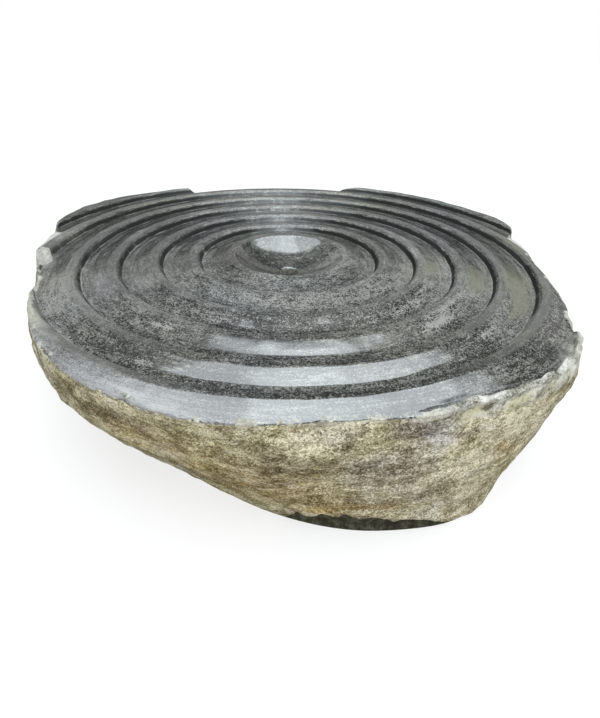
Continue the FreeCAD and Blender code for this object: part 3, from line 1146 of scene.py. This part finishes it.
value(tree, "Bump", 0, {"Height": bumps, "Distance": BUMP_HEIGHT}).goes_to(shader["Normal"])
stone_mesh.materials.append(river_finish)


# Sawn and drilled stone of the foot and the hole: the same dark grain, dull and left unground. Saw
# lines run across it, and mud has dried on it in patches.
SAWN_GRAIN_SIZE = 0.0016
SAW_STRETCH = (6.0, 260.0, 6.0)
SAW_LINES = (1.0, 4.0, 0.6)
SAWN_COLOURS = (
    (0.00, (0.060, 0.057, 0.050)),
    (0.50, (0.140, 0.135, 0.118)),
    (1.00, (0.33, 0.32, 0.285)),
)
MUD = ((0.105, 0.082, 0.052), 0.5)
MUD_CLOUDS, MUD_STARTS = (0.055, 4.0, 0.6), (0.4, 0.9)
SAWN_ROUGHNESS = (0.0, 1.0, 0.70, 0.86)
SAWN_BUMP_HEIGHT = 0.0003

sawn_finish, tree, shader = new_finish("sawn_stone")
where = value(tree, "TexCoord", "Object")
grain = crystals_in(tree, SAWN_GRAIN_SIZE)
saw_lines = noise(vector("MULTIPLY", where, SAW_STRETCH), SAW_LINES)
mud = between(noise(where, MUD_CLOUDS), *MUD_STARTS)
lay(steps(grain["Tone"], SAWN_COLOURS), mud, MUD).goes_to(shader["Base Color"])
between(saw_lines, *SAWN_ROUGHNESS).goes_to(shader["Roughness"])
bumps = saw_lines + grain["Tone"]
value(tree, "Bump", 0, {"Height": bumps, "Distance": SAWN_BUMP_HEIGHT}).goes_to(shader["Normal"])
stone_mesh.materials.append(sawn_finish)


# Floor. Paper that the stone stands on. The camera and mirrors see it glow white, a little less near
# the stone. Lit, it is as dark as grey paper, so that the shadow shows.
FLOOR_CORNERS = [(-6, -6, 0), (6, -6, 0), (6, 6, 0), (-6, 6, 0)]
PAPER_GREY = 0.30
GLOW_BY_DISTANCE = (0.5, 2.2, 0.72, 1.0)

floor_mesh = bpy.data.meshes.new("floor")
floor_mesh.from_pydata(FLOOR_CORNERS, [], [(0, 1, 2, 3)])
floor = bpy.data.objects.new("floor", floor_mesh)
bpy.context.scene.collection.objects.link(floor)
floor_finish, tree, shader = new_finish("floor")
tree.nodes.clear()
glow = between(vector("LENGTH", value(tree, "TexCoord", "Object")), *GLOW_BY_DISTANCE)
path = values(tree, "LightPath")
seen = (path["Is Camera Ray"] + path["Is Glossy Ray"] + path["Is Transmission Ray"]).clamped()
shown = value(tree, "Emission", 0, {"Strength": glow * seen})
paper = value(tree, "BsdfDiffuse", 0, {"Color": (PAPER_GREY, PAPER_GREY, PAPER_GREY, 1)})
both = value(tree, "AddShader", 0, {0: shown, 1: paper})
add(tree, "OutputMaterial", {"Surface": both})
floor_mesh.materials.append(floor_finish)


# Studio round the stone. It lights the stone from a low and a high wall, both at the back. The camera
# sees it white, and so does what mirrors the horizon. What mirrors more of it sees the dark studio.
LOW_WALL_STARTS, LOW_WALL_ENDS, LOW_WALL_LIGHT = (0.18, 0.28), (0.52, 0.42), 0.30
HIGH_WALL_STARTS, HIGH_WALL_LIGHT = (0.66, 0.80), 0.20
TOWARDS_BACK = (-0.20, 0.35)
STUDIO_LIGHT = 0.10
HORIZON_ENDS = (0.030, 0.010)

world = bpy.data.worlds.new("studio")
bpy.context.scene.world = world
world.use_nodes = True
tree = world.node_tree
tree.nodes.clear()
heading = values(tree, "SeparateXYZ", {0: value(tree, "TexCoord", "Generated")})
low_wall = between(heading["Z"], *LOW_WALL_STARTS) * between(heading["Z"], *LOW_WALL_ENDS)
high_wall = between(heading["Z"], *HIGH_WALL_STARTS)
walls = low_wall * LOW_WALL_LIGHT + high_wall * HIGH_WALL_LIGHT
studio = walls * between(heading["Y"], *TOWARDS_BACK) + STUDIO_LIGHT
path = values(tree, "LightPath")
mirrored = (path["Is Glossy Ray"] + path["Is Transmission Ray"]).clamped()
seen = (path["Is Camera Ray"] + mirrored * between(heading["Z"], *HORIZON_ENDS)).clamped()
sky = value(tree, "Background", 0, {"Color": (1, 1, 1, 1), "Strength": mix(seen, studio, 1.0)})
add(tree, "OutputWorld", {"Surface": sky})


# Lights. A row of panels hangs high over the stone, the one over its middle brightest, and its mirror
# image makes the pale bands on the front ripples. A smaller panel stands low in front of the stone,
# and no mirror image shows it.
ROW_HEIGHT = 3.0
ROW_FRONT = -2.60
# Left end, right end, back edge and radiance of each panel in the row
ROW_PANELS = (
    (-1.95, -0.35, 1.32, 2.2),
    (-0.35, 0.60, 1.17, 3.7),
    (0.60, 1.05, 1.27, 3.0),
    (1.05, 1.95, 1.42, 2.7),
    (1.95, 2.45, 1.60, 1.0),
)
ROW_COLOUR = (0.90, 0.98, 1.03)
FRONT_PLACE = (0.15, -2.60, 0.95)
FRONT_SIZE = (2.8, 1.1)
FRONT_RADIANCE = 6.0
FRONT_COLOUR = (1.0, 1.0, 0.97)


def light_panel(name, middle, size, radiance, colour, turn):
    """Flat rectangular light of even radiance."""
    data = bpy.data.lights.new(name, "AREA")
    data.shape = "RECTANGLE"
    data.size, data.size_y = size
    data.color = colour
    data.energy = radiance * math.pi * size[0] * size[1]
    panel = bpy.data.objects.new(name, data)
    panel.location = middle
    panel.rotation_euler = turn
    bpy.context.scene.collection.objects.link(panel)
    return panel


for number, (left_end, right_end, back, radiance) in enumerate(ROW_PANELS, 1):
    middle = ((left_end + right_end) / 2, (back + ROW_FRONT) / 2, ROW_HEIGHT)
    size = (right_end - left_end, back - ROW_FRONT)
    light_panel("row_panel_%d" % number, middle, size, radiance, ROW_COLOUR, (0, 0, 0))
towards_stone = Vector((0, 0, STONE_HEIGHT / 2)) - Vector(FRONT_PLACE)
front_turn = towards_stone.to_track_quat("-Z", "Y").to_euler()
front_panel = light_panel("front_panel", FRONT_PLACE, FRONT_SIZE, FRONT_RADIANCE, FRONT_COLOUR, front_turn)
front_panel.visible_glossy = False


# Camera. It stands just in front of the stone, about 370 mm above the ground, and looks down on it
# with a wide lens.
CAMERA_PLACE = Vector((-0.0424, -0.5636, 0.3676))
CAMERA_DOWN = math.radians(31.88)
CAMERA_TURN = math.radians(-5.86)
CAMERA_ROLL = math.radians(1.66)
# In pixels of the picture, and the sensor in millimetres
LONG_SIDE = 718
FOCAL_LENGTH = 550
SENSOR_WIDTH = 36

camera_data = bpy.data.cameras.new("camera")
camera_data.sensor_width = SENSOR_WIDTH
camera_data.lens = FOCAL_LENGTH / LONG_SIDE * SENSOR_WIDTH
camera = bpy.data.objects.new("camera", camera_data)
camera.matrix_world = (
    Matrix.Translation(CAMERA_PLACE)
    @ Matrix.Rotation(CAMERA_TURN, 4, "Z")
    @ Matrix.Rotation(math.pi / 2 - CAMERA_DOWN, 4, "X")
    @ Matrix.Rotation(CAMERA_ROLL, 4, "Z")
)
bpy.context.scene.collection.objects.link(camera)
bpy.context.scene.camera = camera
bpy.context.scene.view_settings.view_transform = "Standard"
